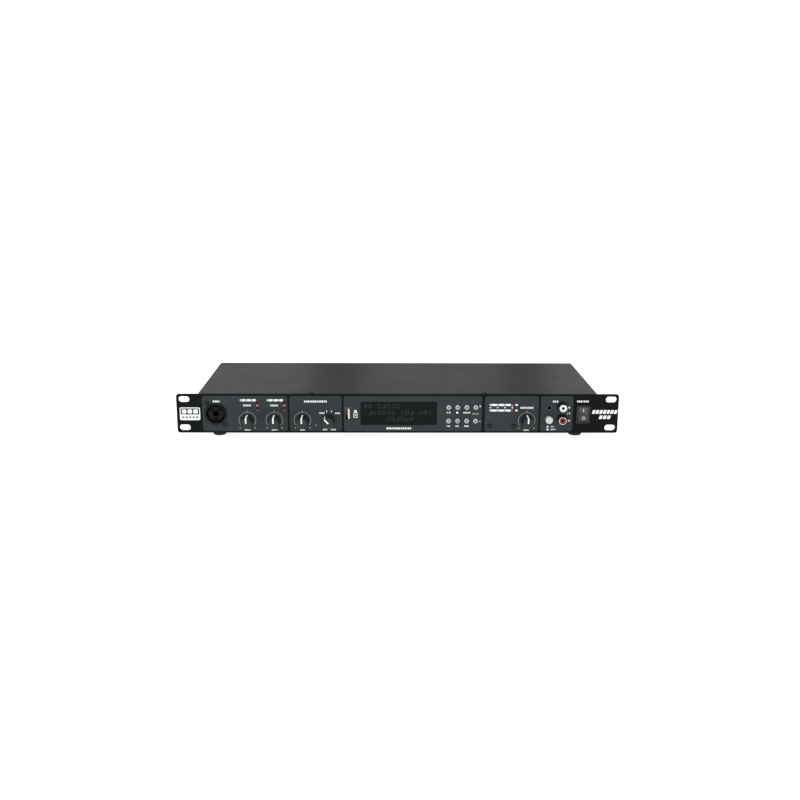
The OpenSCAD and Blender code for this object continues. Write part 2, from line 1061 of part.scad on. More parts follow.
module power_switch_frame() {
  color([0.1, 0.1, 0.1]) {
    on_panel(power_spot) {
      difference() {
        union() {
          slab(panel_front - 2, panel_front)
            rounded_rect(power_bezel[0], power_bezel[1], 1);
          slab(panel_front - EPS, 14)
            square(power_body, center = true);
          for (z = [-6, 0, 6]) {
            block([-3, 13, z - 0.4], [3, 20, z + 0.4]);
          }
        }
        slab(panel_front - 3, 8)
          square([rocker_w + 0.4, 2 * rocker_r + 0.4], center = true);
        translate([-6.2, rocker_pivot_y, 0])
          rotate([0, 90, 0])
            cylinder(r = 1.04, h = 12.4);
      }
    }
  }
}

// Rocker with two faces that meet in a shallow valley, and a stub axle at each side
module power_rocker() {
  color([0.16, 0.16, 0.17]) {
    on_panel(power_spot) {
      translate([0, rocker_pivot_y, 0]) {
        rotate([-rocker_tilt, 0, 0]) {
          difference() {
            rotate([0, 90, 0])
              cylinder(r = rocker_r, h = rocker_w, center = true);
            for (side = [-1, 1]) {
              translate([0, -rocker_front, 0])
                rotate([side * rocker_tilt, 0, 0])
                  block([-rocker_w, -20, min(0, side * 20)], [rocker_w, 0, max(0, side * 20)]);
            }
            block([-rocker_w, 4, -20], [rocker_w, 20, 20]);
          }
          translate([-6.1, 0, 0])
            rotate([0, 90, 0])
              cylinder(r = 1, h = 12.2);
        }
      }
    }
  }
}

// ---- mains inlet ----

module mains_inlet() {
  color([0.08, 0.08, 0.08]) {
    in_rear_wall(inlet_x) {
      difference() {
        union() {
          slab(-sheet_t - inlet_flange_t, -sheet_t)
            rounded_rect(inlet_flange[0], inlet_flange[1], 4);
          slab(-sheet_t - EPS, 16)
            rounded_rect(inlet_body[0], inlet_body[1], 1);
        }
        slab(-sheet_t - inlet_flange_t - EPS, 13)
          rounded_rect(inlet_cavity[0], inlet_cavity[1], 2.5);
        for (x = [-inlet_screw_x, inlet_screw_x]) {
          translate([x, 0, 0])
            bar(1.7, -sheet_t - inlet_flange_t - EPS, -sheet_t + EPS);
        }
      }
    }
  }
}

// ---- inner parts ----

module board(low, high, holes) {
  difference() {
    block([low[0], low[1], board_z], [high[0], high[1], board_z + board_t]);
    for (h = holes) {
      translate([h[0], h[1], 0])
        post(1.7, board_z - EPS, board_z + board_t + EPS);
    }
  }
}

// The mixer's board, with its chips, cans and cable headers
module main_board() {
  top = board_z + board_t - 0.2;
  color([0.1, 0.35, 0.2]) {
    from_edge() {
      board([-202, 62], [115, 140], main_posts);
      for (i = [0 : 9]) {
        translate([-180 + 14 * i, 92, top])
          cube([6, 10, 2.2]);
        translate([-176 + 14 * i, 116, top])
          cylinder(r = 3, h = 9);
      }
      for (x = [-198.5, -120, 0, 70, 104]) {
        translate([x - 10, 70, top])
          cube([20, 5, 6]);
      }
      translate([62, 96, top])
        cube([24, 24, 3]);
    }
  }
}

// Boards that carry the controls and lights, upright behind the panel
module control_boards() {
  color([0.1, 0.35, 0.2]) {
    from_edge() {
      block([-183, control_y, 4.5], [-63, control_y + board_t, 38]);
      block([96, control_y, 4.5], [152, control_y + board_t, 38]);
      block([157, aux_board_y, 6], [188, aux_board_y + board_t, 38]);
    }
  }
}

// Power supply board with its fuse, bridge, cooling plate and smoothing cans
module supply_board() {
  top = board_z + board_t - 0.2;
  color([0.5, 0.4, 0.2]) {
    from_edge() {
      board([122, 110], [174, 160], supply_posts);
      for (x = [138, 158]) {
        translate([x, 142, top])
          cylinder(r = 7, h = 24);
      }
      translate([132, 119, top])
        cube([32, 3, 22]);
      translate([134, 126, top])
        cube([22, 5.5, 6]);
    }
  }
}

// Ring transformer lying flat on the floor of the tray
module transformer() {
  color([0.75, 0.55, 0.2]) {
    from_edge()
      translate([coil_spot[0], coil_spot[1], floor_top])
        rotate_extrude()
          translate([20.5, 14])
            rounded_rect(23, 28, 6);
  }
}

// Ribbon leads from the front boards, and the mains leads along the right side
module wiring() {
  color([0.6, 0.6, 0.6]) {
    from_edge() {
      for (r = [[-120, control_y], [0, 5], [70, 6], [104, control_y]]) {
        translate([r[0] - 7, 0, 0]) {
          block([0, r[1] + board_t, 17.2], [14, 73, 18.2]);
          block([0, 72, 16.5], [14, 73, 18]);
        }
      }
      block([146, control_y + board_t, 14], [147, 23, 30]);
      block([146, 22, 14], [165, 23, 30]);
      block([164, aux_board_y + board_t, 14], [165, 22.5, 30]);
      for (x = [196.5, 201]) {
        translate([x, 0, 18])
          bar(1.8, 20.2, rear_in - 16.2);
      }
      translate([combo_spot[0], 0, 13.5])
        bar(1.6, inner_face + 24, 70);
    }
  }
}

// Posts under the two flat boards, and the two behind the meter
module standoffs() {
  color([0.75, 0.72, 0.55]) {
    from_edge() {
      for (p = concat(main_posts, supply_posts)) {
        translate([p[0], p[1], 0]) {
          difference() {
            post(2.75, floor_top, board_z);
            post(1.3, floor_top + 1, board_z + EPS);
          }
        }
      }
    }
    for (spot = meter_screw_spots) {
      in_front_wall(spot) {
        difference() {
          bar(2.75, 0, control_y - inner_face);
          bar(1.5, -EPS, control_y - inner_face - 0.5);
        }
      }
    }
  }
}

// Screws of the flat boards, and the plate and bolt that hold the transformer down
module inner_screws() {
  top = board_z + board_t;
  color([0.7, 0.7, 0.72]) {
    from_edge() {
      for (p = concat(main_posts, supply_posts)) {
        translate([p[0], p[1], top])
          rotate([180, 0, 0])
            cross_screw(2.7, 1.7, 1.25, 6);
      }
      translate([coil_spot[0], coil_spot[1], 0]) {
        post(2.4, floor_top, floor_top + 33);
        post(22, floor_top + 28, floor_top + 29.5);
        translate([0, 0, floor_top + 29])
          cylinder(d = 8 / cos(30), h = 4, $fn = 6);
      }
    }
  }
}

// ---- one line for each node ----

front_panel();
front_bulkhead();
base_tray();
top_cover();
rear_panel();
section_overlays();
feet();
foot_fixings();
chassis_screws();
panel_fixings();
combo_housings();
combo_cores();
connector_screws();
pot_bodies();
bushing_nuts();
rotary_switch();
usb_shell();
usb_tongue();
display_window();
display_module();
player_boards();
switch_bodies();
green_lights();
red_lights();
mini_jack();
phono_housings();
phono_barrels();
phono_inserts_white();
phono_inserts_red();
power_switch_frame();
mains_inlet();
line_sockets();
contact_pins();
main_board();
control_boards();
supply_board();
transformer();
wiring();
standoffs();
inner_screws();
knob(level_spots[0], 0);  // mic_1_knob
shaft(level_spots[0]);  // mic_1_shaft
knob(level_spots[1], 0);  // mic_2_knob
shaft(level_spots[1]);  // mic_2_shaft
knob(level_spots[2], 0);  // stereo_knob
shaft(level_spots[2]);  // stereo_shaft
knob(level_spots[3], 0);  // monitor_knob
shaft(level_spots[3]);  // monitor_shaft
knob(selector_spot, selector_rest);  // selector_knob
shaft(selector_spot);  // selector_shaft
button(0, 0);  // button_play
button(1, 0);  // button_stop
button(2, 0);  // button_repeat
button(3, 0);  // button_mode
button(0, 1);  // button_previous
button(1, 1);  // button_next
button(2, 1);  // button_folder
button(3, 1);  // button_menu
source_button();
power_rocker();
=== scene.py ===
import json
import math

import bmesh
import bpy
from mathutils import Matrix, Vector


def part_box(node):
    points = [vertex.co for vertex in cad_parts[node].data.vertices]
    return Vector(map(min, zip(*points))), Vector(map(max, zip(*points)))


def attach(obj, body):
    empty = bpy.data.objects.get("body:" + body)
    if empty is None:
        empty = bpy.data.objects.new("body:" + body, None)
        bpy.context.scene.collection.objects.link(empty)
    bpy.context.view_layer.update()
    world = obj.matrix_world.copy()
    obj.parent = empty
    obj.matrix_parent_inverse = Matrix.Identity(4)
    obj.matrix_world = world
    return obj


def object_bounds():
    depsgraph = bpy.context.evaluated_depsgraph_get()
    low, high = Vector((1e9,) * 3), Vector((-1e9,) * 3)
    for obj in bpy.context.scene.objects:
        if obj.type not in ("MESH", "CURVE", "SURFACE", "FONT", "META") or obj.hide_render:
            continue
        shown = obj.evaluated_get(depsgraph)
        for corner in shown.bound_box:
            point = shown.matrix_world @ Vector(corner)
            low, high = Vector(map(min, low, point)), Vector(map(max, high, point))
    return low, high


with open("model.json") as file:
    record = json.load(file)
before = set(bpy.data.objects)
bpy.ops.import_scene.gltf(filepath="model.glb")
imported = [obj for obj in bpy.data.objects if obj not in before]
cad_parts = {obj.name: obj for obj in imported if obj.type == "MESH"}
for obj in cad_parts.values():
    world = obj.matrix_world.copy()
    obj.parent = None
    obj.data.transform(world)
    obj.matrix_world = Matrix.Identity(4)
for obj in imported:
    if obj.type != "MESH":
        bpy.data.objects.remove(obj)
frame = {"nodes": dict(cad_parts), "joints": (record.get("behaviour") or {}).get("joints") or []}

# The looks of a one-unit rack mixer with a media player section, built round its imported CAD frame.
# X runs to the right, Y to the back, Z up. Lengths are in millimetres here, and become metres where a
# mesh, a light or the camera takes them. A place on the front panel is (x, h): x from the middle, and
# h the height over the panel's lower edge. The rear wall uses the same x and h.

cad_low, cad_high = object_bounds()

MM = 0.001
INK = 0.04  # how far a print stands proud
FILM = 0.02  # the same for the thinnest marks
BOARD_TOP = 10.7  # h of the upper side of the flat boards
MICROPHONES = ("mic_1", "mic_2")
LEVELS = (*MICROPHONES, "stereo", "monitor")
KEYS = ("play", "stop", "repeat", "mode", "previous", "next", "folder", "menu")


# ---- places, read from the frame ----

def corners(node):
    """The lowest and highest corner of a CAD node, in millimetres."""
    low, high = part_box(node)
    return low / MM, high / MM


EDGE_Z = corners("front_panel")[0].z
PANEL_FACE = corners("front_panel")[0].y
OVERLAY_FACE = corners("section_overlays")[0].y
REAR_FACE = corners("rear_panel")[1].y


def spot(node):
    """The (x, h) of the middle of a CAD node."""
    low, high = corners(node)
    return (low.x + high.x) / 2, (low.z + high.z) / 2 - EDGE_Z


def solids(node):
    """The (x, h, width, height) of each separate solid of a CAD node, seen from the front."""
    bm = bmesh.new()
    bm.from_mesh(frame["nodes"][node].data)
    bmesh.ops.remove_doubles(bm, verts=bm.verts, dist=1e-6)
    bm.verts.ensure_lookup_table()
    unseen = set(range(len(bm.verts)))
    found = []
    while unseen:
        todo = [unseen.pop()]
        xs, zs = [], []
        while todo:
            vert = bm.verts[todo.pop()]
            xs.append(vert.co.x / MM)
            zs.append(vert.co.z / MM - EDGE_Z)
            for edge in vert.link_edges:
                other = edge.other_vert(vert).index
                if other in unseen:
                    unseen.remove(other)
                    todo.append(other)
        width = max(xs) - min(xs)
        height = max(zs) - min(zs)
        found.append((min(xs) + width / 2, min(zs) + height / 2, width, height))
    bm.free()
    return sorted(found)


# ---- flat outlines, as lists of (x, h) points ----

def rounded(x, h, width, height, radius=0.0, lean=0.0, turn=0.0):
    """A rectangle about its middle; lean pushes its top sideways, and turn is clockwise, in degrees."""
    points = []
    steps = 5 if radius > 0 else 0
    for corner, (sx, sh) in enumerate([(1, 1), (-1, 1), (-1, -1), (1, -1)]):
        for i in range(steps + 1):
            angle = math.radians(90 * corner + 90 * i / max(steps, 1))
            px = sx * (width / 2 - radius) + radius * math.cos(angle)
            ph = sh * (height / 2 - radius) + radius * math.sin(angle)
            points.append((px + lean * ph / height, ph))
    c, s = math.cos(math.radians(turn)), math.sin(math.radians(turn))
    return [(x + px * c + ph * s, h - px * s + ph * c) for px, ph in points]


def disc(x, h, radius):
    """A round dot."""
    steps = 24
    angles = [2 * math.pi * i / steps for i in range(steps)]
    return [(x + radius * math.cos(a), h + radius * math.sin(a)) for a in angles]


def arc(x, h, radius, line, start, end):
    """A curved line; its angles are in degrees clockwise from upright."""
    steps = max(2, round(abs(end - start) / 5))
    angles = [math.radians(start + (end - start) * i / steps) for i in range(steps + 1)]
    outer_r, inner_r = radius + line / 2, radius - line / 2
    outer = [(x + outer_r * math.sin(a), h + outer_r * math.cos(a)) for a in angles]
    inner = [(x + inner_r * math.sin(a), h + inner_r * math.cos(a)) for a in angles]
    return outer + inner[::-1]


def frame_lines(x, h, width, height, line):
    """Four bars that draw a rectangle's outline."""
    return [
        rounded(x, h + height / 2, width + line, line),
        rounded(x, h - height / 2, width + line, line),
        rounded(x - width / 2, h, line, height - line),
        rounded(x + width / 2, h, line, height - line),
    ]


def blank_word(x, h, width, size):
    """A stand-in for a printed word: a row of plain blocks as high as letters would be."""
    pitch = size * 0.92
    count = max(1, round(width / pitch))
    step = width / count
    widths = [0.74, 0.62, 0.8, 0.5]
    return [
        rounded(x - width / 2 + step * (i + 0.5), h, step * widths[i % len(widths)], size, size * 0.12)
        for i in range(count)
    ]


def triangle(x, h, width, height):
    """A triangle that points to +X, or to -X where its width is negative."""
    return [(x - width / 2, h - height / 2), (x + width / 2, h), (x - width / 2, h + height / 2)]


# ---- meshes ----

def piece(name, bm, material, body):
    """Makes an object of a bmesh drawn in metres, and lets it ride on a CAD body."""
    bmesh.ops.recalc_face_normals(bm, faces=bm.faces)
    mesh = bpy.data.meshes.new(name)
    bm.to_mesh(mesh)
    bm.free()
    mesh.materials.append(material)
    made = bpy.data.objects.new(name, mesh)
    bpy.context.scene.collection.objects.link(made)
    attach(made, body)
    return made


def add_prism(bm, front_ring, back_ring):
    """Adds a flat prism between two lists of points in space."""
    front = [bm.verts.new(p * MM) for p in front_ring]
    back = [bm.verts.new(p * MM) for p in back_ring]
    bm.faces.new(front)
    bm.faces.new(back[::-1])
    for i in range(len(front)):
        j = (i + 1) % len(front)
        bm.faces.new([front[i], back[i], back[j], front[j]])


def prints(name, outlines, face_y, height, material, body="chassis", side=-1):
    """A piece of flat prisms that stand height proud of the wall at face_y; side 1 is the rear wall."""
    bm = bmesh.new()
    sunk = 0.01
    for outline in outlines:
        front_ring = [Vector((x, face_y + side * height, h + EDGE_Z)) for x, h in outline]
        back_ring = [Vector((x, face_y - side * sunk, h + EDGE_Z)) for x, h in outline]
        add_prism(bm, front_ring, back_ring)
    return piece(name, bm, material, body)


def soften(node, width):
    """Rounds the edges of a CAD node with modifiers, which leave its own mesh alone."""
    shown = frame["nodes"][node]
    weld = shown.modifiers.new("weld", "WELD")
    weld.merge_threshold = 2e-6
    flat = shown.modifiers.new("flat", "DECIMATE")
    flat.decimate_type = "DISSOLVE"
    flat.angle_limit = math.radians(0.5)
    bevel = shown.modifiers.new("bevel", "BEVEL")
    bevel.width = width * MM
    bevel.segments = 2
    bevel.limit_method = "ANGLE"
    bevel.angle_limit = math.radians(32)
    bevel.use_clamp_overlap = False
    shown.modifiers.new("triangles", "TRIANGULATE")
    normals = shown.modifiers.new("normals", "WEIGHTED_NORMAL")
    normals.weight = 100


# ---- materials ----

class Look:
    """A Principled material and the few steps that pattern it."""

    def __init__(self, name, colour, roughness, metallic=0.0, **constants):
        self.material = bpy.data.materials.new(name)
        self.material.use_nodes = True
        self.tree = self.material.node_tree
        self.shader = self.tree.nodes["Principled BSDF"]
        self.colour = colour
        self.set("Base Color", (*colour, 1.0))
        self.set("Roughness", roughness)
        self.set("Metallic", metallic)
        for key, value in constants.items():
            self.set(key.replace("_", " "), value)
        self.place = self.add("ShaderNodeTexCoord").outputs["Object"]

    def set(self, socket, value):
        """Sets a constant of the Principled shader."""
        self.shader.inputs[socket].default_value = value

    def add(self, kind, **settings):
        """A new shader node with some of its settings."""
        node = self.tree.nodes.new(kind)
        for key, value in settings.items():
            setattr(node, key, value)
        return node

    def feed(self, socket, value):
        """Links another node's output to a socket, or sets it to a number or a colour."""
        if isinstance(value, bpy.types.NodeSocket):
            self.tree.links.new(value, socket)
        elif isinstance(value, (tuple, list)):
            socket.default_value = (*value, 1.0)
        else:
            socket.default_value = value

    def noise(self, size, detail=3.0):
        """A noise whose blobs are about size millimetres."""
        noise = self.add("ShaderNodeTexNoise")
        noise.inputs["Scale"].default_value = 1 / (size * MM)
        noise.inputs["Detail"].default_value = detail
        self.feed(noise.inputs["Vector"], self.place)
        return noise.outputs["Fac"]

    def tracks(self, place):
        """The conductor tracks of a circuit board, as the joints of a brick pattern."""
        brick = 13.2
        bricks = self.add("ShaderNodeTexBrick")
        bricks.inputs["Scale"].default_value = 1 / (brick * MM)
        bricks.inputs["Mortar Size"].default_value = 0.03
        self.feed(bricks.inputs["Vector"], place)
        return bricks.outputs["Fac"]

    def spread(self, value, low, high, out_low, out_high):
        """Maps low..high of a value to out_low..out_high."""
        node = self.add("ShaderNodeMapRange")
        node.inputs["From Min"].default_value = low
        node.inputs["From Max"].default_value = high
        node.inputs["To Min"].default_value = out_low
        node.inputs["To Max"].default_value = out_high
        self.feed(node.inputs["Value"], value)
        return node.outputs["Result"]

    def mix(self, value, first, second):
        """A colour between two others, either of which may be a socket."""
        node = self.add("ShaderNodeMix", data_type="RGBA")
        self.feed(node.inputs["Factor"], value)
        first_in, second_in = [socket for socket in node.inputs if socket.type == "RGBA"]
        self.feed(first_in, first)
        self.feed(second_in, second)
        return [socket for socket in node.outputs if socket.type == "RGBA"][0]

    def tint(self, value, amount):
        """Makes the colour up to amount darker and lighter by a pattern."""
        dark = [c * (1 - amount) for c in self.colour]
        light = [min(1.0, c * (1 + amount)) for c in self.colour]
        patches = self.spread(value, 0.35, 0.65, 0, 1)
        self.feed(self.shader.inputs["Base Color"], self.mix(patches, dark, light))

    def gloss(self, value, low, high):
        """Varies the roughness from low to high by a pattern."""
        self.feed(self.shader.inputs["Roughness"], self.spread(value, 0.3, 0.7, low, high))

    def relief(self, value, height, strength=1.0):
        """Raises the surface by height millimetres where a pattern is 1."""
        bump = self.add("ShaderNodeBump")
        bump.inputs["Distance"].default_value = height * MM
        bump.inputs["Strength"].default_value = strength
        self.feed(bump.inputs["Height"], value)
        self.feed(self.shader.inputs["Normal"], bump.outputs["Normal"])

    def choose(self, factor, first, second):
        """One of two numbers or sockets: the second where the factor is 1."""
        node = self.add("ShaderNodeMix", data_type="FLOAT")
        self.feed(node.inputs[0], factor)
        self.feed(node.inputs[2], first)
        self.feed(node.inputs[3], second)
        return node.outputs[0]

    def axis(self, name):
        """One coordinate of the place, in metres."""
        node = self.add("ShaderNodeSeparateXYZ")
        self.feed(node.inputs["Vector"], self.place)
        return node.outputs[name]

    def maths(self, operation, *values):
        """The result of an operation on one or two numbers or sockets."""
        node = self.add("ShaderNodeMath", operation=operation)
        for socket, value in zip(node.inputs, values):
            self.feed(socket, value)
        return node.outputs["Value"]


def painted_steel(name, colour, roughness, grain=0.9, **constants):
    """Powder-coated sheet: a fine orange-peel grain, and a broad unevenness of gloss and tone."""
    look = Look(name, colour, roughness, **constants)
    look.tint(look.noise(70, detail=4), 0.05)
    look.gloss(look.noise(45, detail=2), roughness - 0.02, roughness + 0.03)
    look.relief(look.noise(grain, detail=2), 0.006, 0.25)
    return look.material


def moulded(name, colour, roughness, grain=0.5, **constants):
    """Moulded plastic: a spark-eroded grain and faint cloudiness."""
    look = Look(name, colour, roughness, **constants)
    look.tint(look.noise(4, detail=4), 0.08)
    look.gloss(look.noise(2.5), roughness - 0.05, roughness + 0.06)
    look.relief(look.noise(grain), 0.008, 0.6)
    return look.material


def metal(name, colour, roughness):
    """Plated or turned metal: a fine tool grain and slightly cloudy plating."""
    look = Look(name, colour, roughness, metallic=1.0)
    look.tint(look.noise(3, detail=4), 0.06)
    look.gloss(look.noise(0.6, detail=4), roughness - 0.07, roughness + 0.08)
    look.relief(look.noise(0.35), 0.004, 0.5)
    return look.material


def ink(name, colour):
    """Screen-printed ink: not quite even, with a slightly rough surface."""
    look = Look(name, colour, 0.45, Specular_IOR_Level=0.1)
    look.tint(look.noise(0.8, detail=4), 0.06)
    look.gloss(look.noise(0.5), 0.4, 0.55)
    return look.material


def rubber(name, colour):
    """Dull moulded rubber, dusty in places."""
    look = Look(name, colour, 0.75, Specular_IOR_Level=0.3)
    look.tint(look.noise(5, detail=5), 0.15)
    look.gloss(look.noise(1.5), 0.66, 0.84)
    look.relief(look.noise(0.8, detail=5), 0.03, 0.7)
    return look.material


def lens(name, colour, dark, glow, steps):
    """Coloured lenses, lit by their height: steps holds (height, strength), from low to high."""
    look = Look(name, colour, 0.3, Emission_Color=(*glow, 1.0), Specular_IOR_Level=0.3)
    height = look.axis("Z")
    strength = 0.0
    for edge, level in steps:
        over = look.maths("GREATER_THAN", height, (edge + EDGE_Z) * MM)
        strength = look.choose(over, strength, level)
    cloud = look.spread(look.noise(1.1), 0.3, 0.7, 0.8, 1.2)
    look.feed(look.shader.inputs["Emission Strength"], look.maths("MULTIPLY", cloud, strength))
    lit = look.maths("GREATER_THAN", strength, 0.01)
    look.feed(look.shader.inputs["Base Color"], look.mix(lit, dark, colour))
    return look.material


def window_glass(name, colour):
    """The dark display window: hard gloss over a faintly mottled greenish black."""
    look = Look(name, colour, 0.12, Specular_IOR_Level=0.09)
    look.tint(look.noise(14, detail=2), 0.2)
    look.gloss(look.noise(20), 0.1, 0.16)
    return look.material


def flat_board(name, mask, track):
    """A board that lies flat: solder mask with tracks, and the parts that stand on it in black."""
    look = Look(name, mask, 0.4)
    masked = look.mix(look.tracks(look.place), mask, track)
    is_part = look.maths("GREATER_THAN", look.axis("Z"), (BOARD_TOP + EDGE_Z) * MM)
    patches = look.spread(look.noise(3), 0.4, 0.6, 0, 1)
    parts = look.mix(patches, (0.02, 0.02, 0.022), (0.032, 0.032, 0.0352))
    look.feed(look.shader.inputs["Base Color"], look.mix(is_part, masked, parts))
    look.gloss(look.noise(4), 0.32, 0.5)
    return look.material


def upright_board(name, mask, track):
    """A board that stands upright behind the panel: solder mask with tracks along X and Z."""
    look = Look(name, mask, 0.4)
    turned = look.add("ShaderNodeMapping")
    turned.inputs["Rotation"].default_value = (math.radians(90), 0, 0)
    look.feed(turned.inputs["Vector"], look.place)
    tracks = look.tracks(turned.outputs["Vector"])
    look.feed(look.shader.inputs["Base Color"], look.mix(tracks, mask, track))
    look.gloss(look.noise(4), 0.32, 0.5)
    return look.material


def ribbon(name, colour, other, pitch):
    """The strands of a ribbon lead, side by side along X: bands of two tones with a round relief."""
    look = Look(name, colour, 0.5)
    wave = look.add("ShaderNodeTexWave", wave_type="BANDS", bands_direction="X")
    unscaled_pitch = 0.314
    wave.inputs["Scale"].default_value = unscaled_pitch / (pitch * MM)
    wave.inputs["Distortion"].default_value = 0.0
    look.feed(wave.inputs["Vector"], look.place)
    look.feed(look.shader.inputs["Base Color"], look.mix(wave.outputs["Fac"], other, colour))
    look.gloss(look.noise(3), 0.44, 0.56)
    look.relief(wave.outputs["Fac"], 0.25)
    return look.material


def coil(name, colour, other, node, turns):
    """Tape and wire wound round a ring: bands that fan out from the ring's middle."""
    look = Look(name, colour, 0.4)
    low, high = corners(node)
    middle = look.add("ShaderNodeMapping")
    middle.inputs["Location"].default_value = (-(low.x + high.x) / 2 * MM, -(low.y + high.y) / 2 * MM, 0)
    look.feed(middle.inputs["Vector"], look.place)
    parts = look.add("ShaderNodeSeparateXYZ")
    look.feed(parts.inputs["Vector"], middle.outputs["Vector"])
    angle = look.maths("ARCTAN2", parts.outputs["Y"], parts.outputs["X"])
    bands = look.spread(look.maths("SINE", look.maths("MULTIPLY", angle, turns)), -1, 1, 0, 1)
    look.feed(look.shader.inputs["Base Color"], look.mix(bands, other, colour))
    look.gloss(look.noise(2), 0.3, 0.5)
    look.relief(bands, 0.3)
    return look.material


white_ink = ink("white_ink", (0.78, 0.8, 0.79))
grey_ink = ink("grey_ink", (0.22, 0.235, 0.235))
black_ink = ink("black_ink", (0.012, 0.012, 0.012))
dim_ink = ink("dim_ink", (0.3, 0.3, 0.26))
badge_white = moulded("badge_white", (0.74, 0.77, 0.765), 0.35)
pointer_white = moulded("pointer_white", (0.8, 0.82, 0.82), 0.4, Specular_IOR_Level=0.2)
character_green = ink("character_green", (0.026, 0.036, 0.025))
# Painted shade: the darker grey of the discs on the player keys' middles, where their dished faces fall
# in shade
key_grey = moulded("key_grey", (0.13, 0.14, 0.14), 0.4)
mark_ink = ink("mark_ink", (0.5, 0.51, 0.5))
ring_ink = ink("ring_ink", (0.27, 0.29, 0.28))
gold_contact = metal("gold_contact", (0.85, 0.62, 0.28), 0.28)

mask_green, track_green = (0.012, 0.07, 0.03), (0.03, 0.15, 0.06)
mask_tan, track_tan = (0.26, 0.15, 0.06), (0.34, 0.22, 0.1)

# The lights' colours: lit, unlit and glow. Each step is an h and the strength of the glow above it.
green_looks = [(0.42, 0.51, 0.48), (0.13, 0.135, 0.13), (0.6, 1.0, 0.85)]
green_steps = [(15, 0.06)]
red_looks = [(0.16, 0.01, 0.016), (0.06, 0.006, 0.008), (1.0, 0.3, 0.4)]
red_steps = [(0, 0.06), (29, 0.85), (31.6, 0.012)]

# One material for each slot of the frame, with the slot's name
slot_materials = [
    painted_steel("black_panel", (0.005, 0.0065, 0.0055), 0.42, 0.6, Specular_IOR_Level=0.05),
    painted_steel("chassis_paint", (0.031, 0.0295, 0.0298), 0.3),
    painted_steel("overlay_grey", (0.026, 0.033, 0.0365), 0.5, 0.5, Specular_IOR_Level=0.13),
    rubber("foot_rubber", (0.014, 0.014, 0.014)),
    metal("zinc_steel", (0.62, 0.62, 0.6), 0.3),
    metal("black_screw", (0.035, 0.035, 0.037), 0.38),
    moulded("socket_black", (0.0045, 0.005, 0.0055), 0.4, Specular_IOR_Level=0.2),
    moulded("core_black", (0.006, 0.0065, 0.007), 0.5, Specular_IOR_Level=0.12),
    moulded("control_case", (0.05, 0.16, 0.12), 0.4),
    moulded("switch_case", (0.03, 0.03, 0.036), 0.42),
    metal("nickel", (0.72, 0.72, 0.71), 0.22),
    moulded("tongue_white", (0.78, 0.77, 0.72), 0.4),
    window_glass("display_glass", (0.0015, 0.004, 0.0025)),
    metal("display_frame", (0.12, 0.12, 0.11), 0.4),
    upright_board("board_green", mask_green, track_green),
    lens("light_green", *green_looks, green_steps),
    lens("light_red", *red_looks, red_steps),
    moulded("insert_white", (0.78, 0.78, 0.75), 0.38),
    moulded("insert_red", (0.25, 0.008, 0.009), 0.4, Specular_IOR_Level=0.25),
    metal("brass_pin", (0.8, 0.6, 0.3), 0.25),
    flat_board("supply_tan", mask_tan, track_tan),
    coil("winding", (0.62, 0.3, 0.06), (0.3, 0.12, 0.02), "transformer", 72),
    ribbon("wire_grey", (0.4, 0.4, 0.39), (0.2, 0.2, 0.2), 1.27),
    metal("brass_post", (0.75, 0.58, 0.3), 0.32),
    moulded("knob_black", (0.015, 0.0165, 0.017), 0.46, 0.4, Specular_IOR_Level=0.35),
    metal("shaft_metal", (0.66, 0.66, 0.67), 0.25),
    moulded("button_grey", (0.38, 0.4, 0.405), 0.36),
    moulded("button_white", (0.5, 0.53, 0.52), 0.36, Specular_IOR_Level=0.3),
    moulded("rocker_black", (0.045, 0.046, 0.047), 0.34),
]
finishes = {made.name.split(".")[0]: made for made in slot_materials}

for shown in frame["nodes"].values():
    for held in shown.material_slots:
        held.material = finishes[held.material.name.split(".")[0]]

# Nodes that look a little different from the others of their slot
dark_nickel = metal("dark_nickel", (0.17, 0.17, 0.22), 0.34)
own_materials = {
    "main_board": flat_board("flat_board", mask_green, track_green),
    "power_switch_frame": moulded("switch_frame", (0.014, 0.0145, 0.015), 0.4, Specular_IOR_Level=0.25),
    "usb_shell": metal("socket_shell", (0.2, 0.18, 0.14), 0.4),
    "bushing_nuts": dark_nickel,
}
for node, made in own_materials.items():
    frame["nodes"][node].material_slots[0].material = made

# How far the edges of each node are rounded
edge_radii = {
    "front_panel": 0.35, "section_overlays": 0.1, "top_cover": 0.3, "base_tray": 0.25,
    "rear_panel": 0.2, "front_bulkhead": 0.2, "combo_housings": 0.25, "combo_cores": 0.15,
    "line_sockets": 0.25, "mains_inlet": 0.3, "power_switch_frame": 0.35, "power_rocker": 0.3,
    "display_window": 0.2, "usb_shell": 0.08, "usb_tongue": 0.12, "feet": 0.3,
    "phono_barrels": 0.1, "phono_inserts_white": 0.12, "phono_inserts_red": 0.12,
    "phono_housings": 0.15, "mini_jack": 0.12, "bushing_nuts": 0.12, "chassis_screws": 0.1,
    "connector_screws": 0.08, "green_lights": 0.18, "red_lights": 0.18, "source_button": 0.12,
}
edge_radii.update({node: 0.1 for node in frame["nodes"] if node.endswith("_knob")})
edge_radii.update({node: 0.08 for node in frame["nodes"] if node.startswith("button_")})
for node, width in edge_radii.items():
    soften(node, width)


# ---- pieces on the front panel ----

greens = solids("green_lights")
reds = solids("red_lights")


def near(lights, x_from, x_to, h_from=0.0, h_to=99.0):
    """The lights whose middle lies between two places."""
    return [light for light in lights if x_from < light[0] < x_to and h_from < light[1] < h_to]


def ring(control):
    """The ring round a level control: open at the bottom, with a tick on top."""
    x, h = spot(control + "_shaft")
    radius, line, end = 9.1, 0.5, 128
    return [arc(x, h, radius, line, -end, end), rounded(x, h + radius + 1.2, 0.6, 1.8)]


